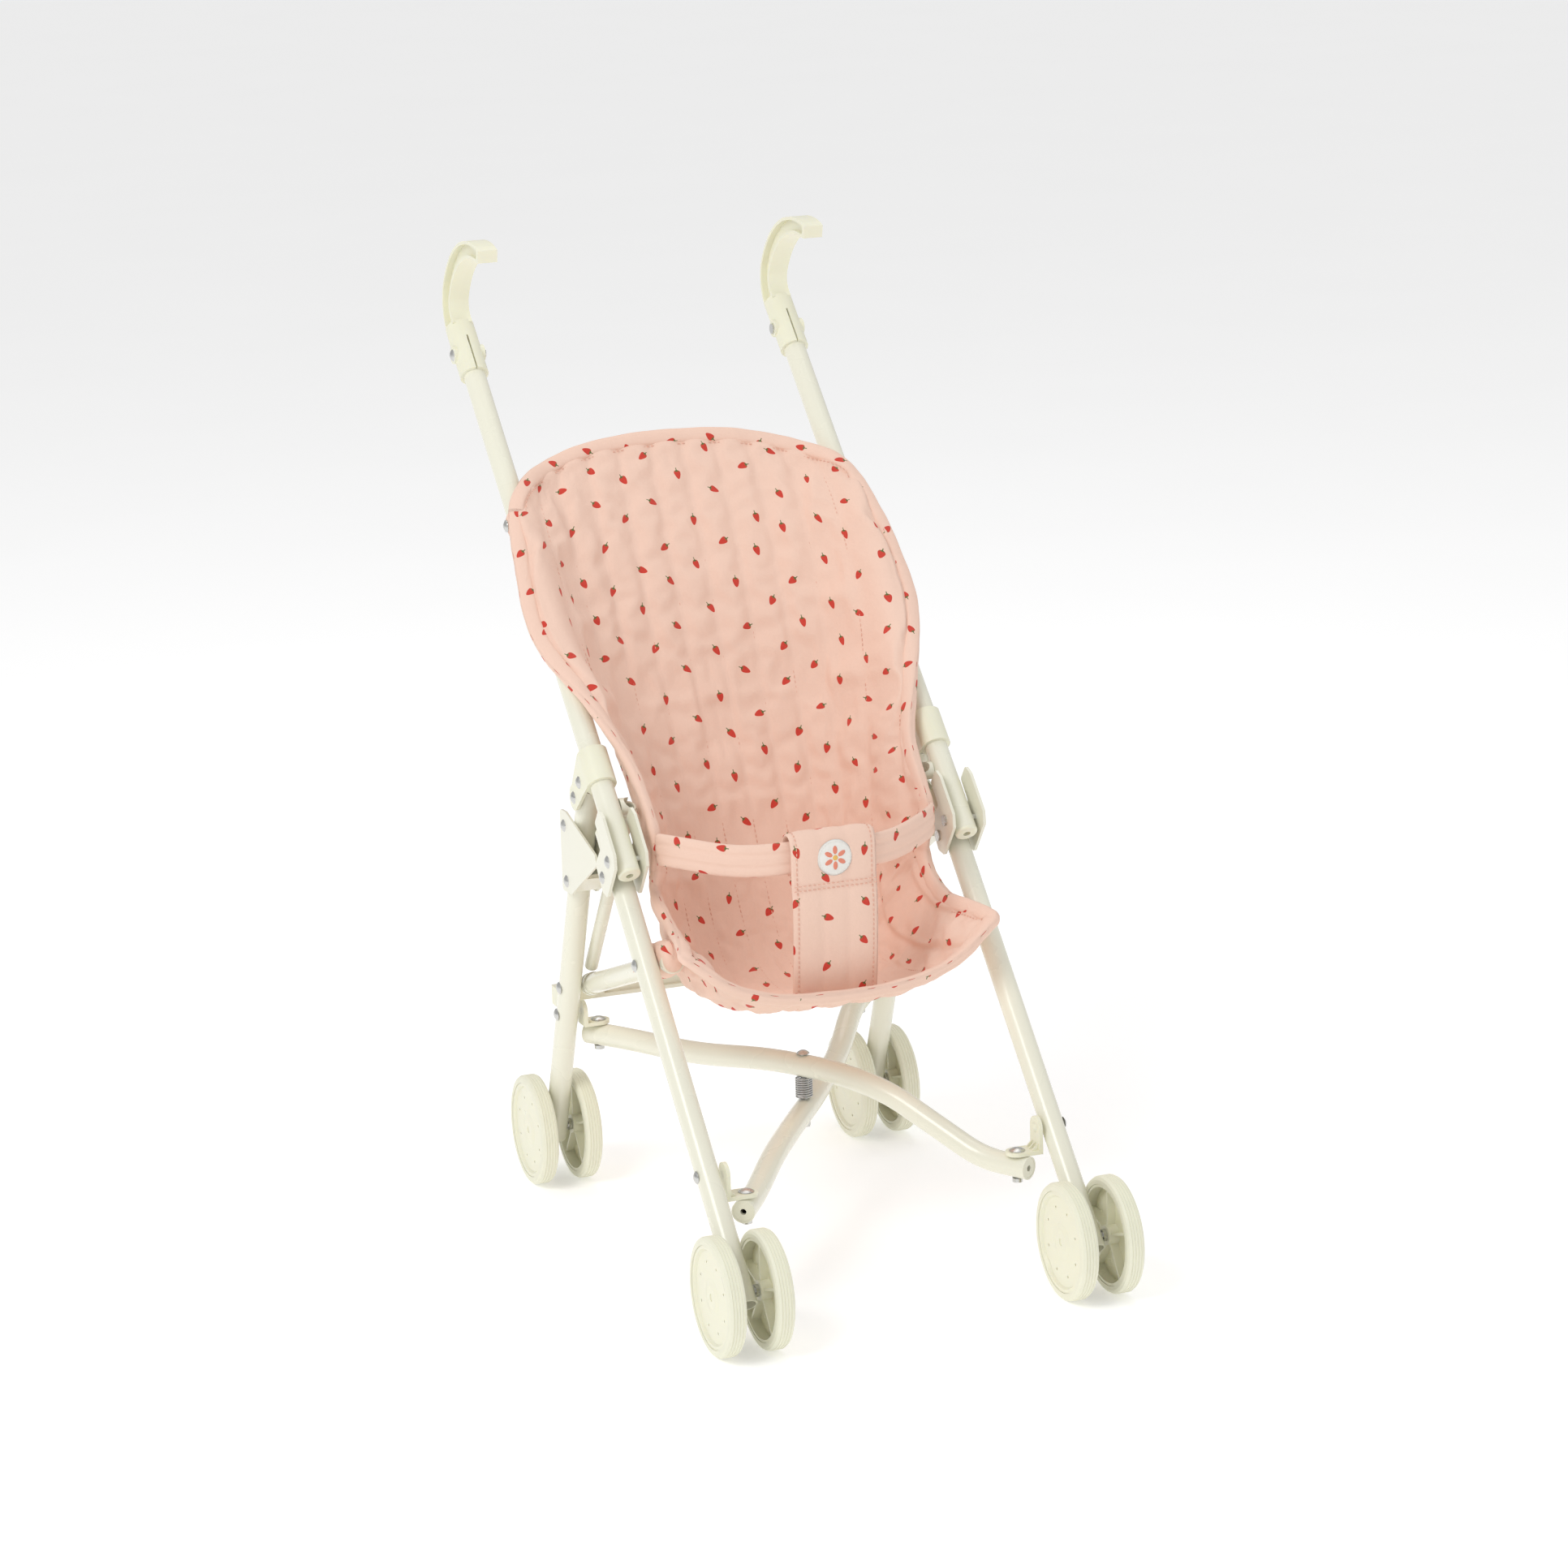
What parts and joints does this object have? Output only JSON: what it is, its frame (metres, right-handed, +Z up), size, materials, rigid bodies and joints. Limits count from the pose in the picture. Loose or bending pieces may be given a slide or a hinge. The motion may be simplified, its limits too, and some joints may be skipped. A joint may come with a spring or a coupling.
{
  "type": "doll stroller",
  "caption": "Folding umbrella-style doll stroller with hook handles, paired wheels, scissor cross tubes and a quilted fabric seat with waist belt.",
  "frame": {"origin": "on the floor, under the middle of the whole object's bounding box", "axes": "+Z up; the seated doll faces -Y; X runs across the stroller, and left in a node name is the -X side"},
  "size_m": [0.2796, 0.5688, 0.6422],
  "materials": {
    "frame_paint": "glossy warm ivory powder coat on steel tube",
    "plate_paint": "ivory coated sheet steel",
    "plastic_ivory": "moulded ivory plastic, slight gloss",
    "grip_plastic": "moulded ivory plastic, satin",
    "wheel_plastic": "moulded ivory plastic",
    "tyre": "soft ivory tread, fine ribs",
    "steel": "plated steel rivets, bolts and axles",
    "spring_steel": "bare spring wire",
    "seat_fabric": "quilted peach cotton with a small berry print",
    "badge_felt": "round off-white felt patch"
  },
  "bodies": {
    "seat": {"seat_sling": "seat_fabric", "waist_belt": "seat_fabric", "crotch_strap": "seat_fabric", "strap_badge": "badge_felt"},
    "left_push": {"left_push_tube": "frame_paint", "left_push_plug": "plastic_ivory", "left_hinge_plates": "plate_paint", "left_grip": "grip_plastic", "left_clamp": "plastic_ivory", "left_push_rivets": "steel", "left_seat_rail": "frame_paint", "left_stay": "frame_paint"},
    "left_front_leg": {"left_front_leg": "frame_paint", "left_front_leg_plug": "plastic_ivory", "left_front_leg_rivets": "steel"},
    "left_rear_leg": {"left_rear_leg": "frame_paint", "left_gusset": "plate_paint", "left_brace_lug": "plastic_ivory", "left_rear_leg_rivets": "steel"},
    "right_push": {"right_push_tube": "frame_paint", "right_push_plug": "plastic_ivory", "right_hinge_plates": "plate_paint", "right_grip": "grip_plastic", "right_clamp": "plastic_ivory", "right_push_rivets": "steel", "right_seat_rail": "frame_paint", "right_stay": "frame_paint"},
    "right_front_leg": {"right_front_leg": "frame_paint", "right_front_leg_plug": "plastic_ivory", "right_front_leg_rivets": "steel"},
    "right_rear_leg": {"right_rear_leg": "frame_paint", "right_gusset": "plate_paint", "right_brace_lug": "plastic_ivory", "right_rear_leg_rivets": "steel"},
    "cross_hub": {"hub_bolt": "steel", "hub_spring": "spring_steel"},
    "upper_tube": {"upper_cross_tube": "frame_paint", "upper_cross_tube_screws": "steel"},
    "lower_tube": {"lower_cross_tube": "frame_paint", "lower_cross_tube_screws": "steel"},
    "left_front_bracket": {"left_front_bracket": "plastic_ivory"},
    "left_rear_bracket": {"left_rear_bracket": "plastic_ivory"},
    "right_front_bracket": {"right_front_bracket": "plastic_ivory"},
    "right_rear_bracket": {"right_rear_bracket": "plastic_ivory"},
    "brace_left": {"brace_channel": "plate_paint", "brace_channel_pins": "steel"},
    "brace_right": {"brace_bar": "plate_paint", "brace_bar_pins": "steel"},
    "front_left_wheelset": {"front_left_wheels": "wheel_plastic", "front_left_tyres": "tyre", "front_left_axle": "steel"},
    "front_right_wheelset": {"front_right_wheels": "wheel_plastic", "front_right_tyres": "tyre", "front_right_axle": "steel"},
    "rear_left_wheelset": {"rear_left_wheels": "wheel_plastic", "rear_left_tyres": "tyre", "rear_left_axle": "steel"},
    "rear_right_wheelset": {"rear_right_wheels": "wheel_plastic", "rear_right_tyres": "tyre", "rear_right_axle": "steel"}
  },
  "joints": [
    {"name": "fold", "type": "slide", "parent": "seat", "child": "left_push", "axis": [1, 0, 0], "range_m": [0, 0.082], "deforming": ["seat_sling", "waist_belt", "crotch_strap", "strap_badge", "hub_spring"]},
    {"name": "right_fold", "type": "slide", "parent": "seat", "child": "right_push", "axis": [-1, 0, 0], "range_m": [0, 0.0821]},
    {"name": "left_front_leg_hinge", "type": "hinge", "parent": "left_push", "child": "left_front_leg", "pos_m": [-0.118, -0.03728, 0.25579], "axis": [-1, 0, 0], "range_deg": [0, 10.57]},
    {"name": "left_rear_leg_hinge", "type": "hinge", "parent": "left_push", "child": "left_rear_leg", "pos_m": [-0.118, 0.02209, 0.29605], "axis": [1, 0, 0], "range_deg": [0, 9.92]},
    {"name": "right_front_leg_hinge", "type": "hinge", "parent": "right_push", "child": "right_front_leg", "pos_m": [0.118, -0.03728, 0.25579], "axis": [-1, 0, 0], "range_deg": [0, 10.57]},
    {"name": "right_rear_leg_hinge", "type": "hinge", "parent": "right_push", "child": "right_rear_leg", "pos_m": [0.118, 0.02209, 0.29605], "axis": [1, 0, 0], "range_deg": [0, 9.92]},
    {"name": "hub_rise", "type": "hinge", "parent": "seat", "child": "cross_hub", "pos_m": [0, 0.402, 0.095], "axis": [-1, 0, 0], "range_deg": [0, 2.87]},
    {"name": "upper_scissor", "type": "hinge", "parent": "cross_hub", "child": "upper_tube", "pos_m": [0, -0.051, 0.115], "axis": [0, 0, -1], "range_deg": [0, 29.92]},
    {"name": "lower_scissor", "type": "hinge", "parent": "cross_hub", "child": "lower_tube", "pos_m": [0, -0.051, 0.084], "axis": [0, 0, 1], "range_deg": [0, 29.92]},
    {"name": "right_front_bracket_swivel", "type": "hinge", "parent": "upper_tube", "child": "right_front_bracket", "pos_m": [0.093, -0.19, 0.08], "axis": [0, 0, 1], "range_deg": [0, 29.92]},
    {"name": "left_rear_bracket_swivel", "type": "hinge", "parent": "upper_tube", "child": "left_rear_bracket", "pos_m": [-0.096, 0.089, 0.12], "axis": [0, 0, 1], "range_deg": [0, 29.92]},
    {"name": "left_front_bracket_swivel", "type": "hinge", "parent": "lower_tube", "child": "left_front_bracket", "pos_m": [-0.093, -0.19, 0.08], "axis": [0, 0, -1], "range_deg": [0, 29.92]},
    {"name": "right_rear_bracket_swivel", "type": "hinge", "parent": "lower_tube", "child": "right_rear_bracket", "pos_m": [0.096, 0.089, 0.12], "axis": [0, 0, -1], "range_deg": [0, 29.92]},
    {"name": "brace_left_hinge", "type": "hinge", "parent": "left_rear_leg", "child": "brace_left", "pos_m": [-0.097, 0.1094, 0.139], "axis": [0, -1, 0], "range_deg": [0, 81.11]},
    {"name": "brace_right_hinge", "type": "hinge", "parent": "right_rear_leg", "child": "brace_right", "pos_m": [0.097, 0.1144, 0.139], "axis": [0, 1, 0], "range_deg": [0, 81.11]},
    {"name": "front_left_spin", "type": "hinge", "parent": "left_front_leg", "child": "front_left_wheelset", "pos_m": [-0.118, -0.2465, 0.038], "axis": [1, 0, 0], "continuous": true},
    {"name": "front_right_spin", "type": "hinge", "parent": "right_front_leg", "child": "front_right_wheelset", "pos_m": [0.118, -0.2465, 0.038], "axis": [1, 0, 0], "continuous": true},
    {"name": "rear_left_spin", "type": "hinge", "parent": "left_rear_leg", "child": "rear_left_wheelset", "pos_m": [-0.118, 0.1255, 0.038], "axis": [1, 0, 0], "continuous": true},
    {"name": "rear_right_spin", "type": "hinge", "parent": "right_rear_leg", "child": "rear_right_wheelset", "pos_m": [0.118, 0.1255, 0.038], "axis": [1, 0, 0], "continuous": true}
  ],
  "couplings": [
    {"joint": "right_fold", "follows": "fold", "ratio": 1},
    {"joint": "left_front_leg_hinge", "follows": "fold", "rad_per_m": 2.2455},
    {"joint": "left_rear_leg_hinge", "follows": "fold", "rad_per_m": 2.107},
    {"joint": "right_front_leg_hinge", "follows": "fold", "rad_per_m": 2.2455},
    {"joint": "right_rear_leg_hinge", "follows": "fold", "rad_per_m": 2.107},
    {"joint": "hub_rise", "follows": "fold", "rad_per_m": 0.606},
    {"joint": "upper_scissor", "follows": "fold", "rad_per_m": 6.364},
    {"joint": "lower_scissor", "follows": "fold", "rad_per_m": 6.364},
    {"joint": "right_front_bracket_swivel", "follows": "fold", "rad_per_m": 6.364},
    {"joint": "left_rear_bracket_swivel", "follows": "fold", "rad_per_m": 6.364},
    {"joint": "left_front_bracket_swivel", "follows": "fold", "rad_per_m": 6.364},
    {"joint": "right_rear_bracket_swivel", "follows": "fold", "rad_per_m": 6.364},
    {"joint": "brace_left_hinge", "follows": "fold", "rad_per_m": 17.26},
    {"joint": "brace_right_hinge", "follows": "fold", "rad_per_m": 17.26}
  ]
}
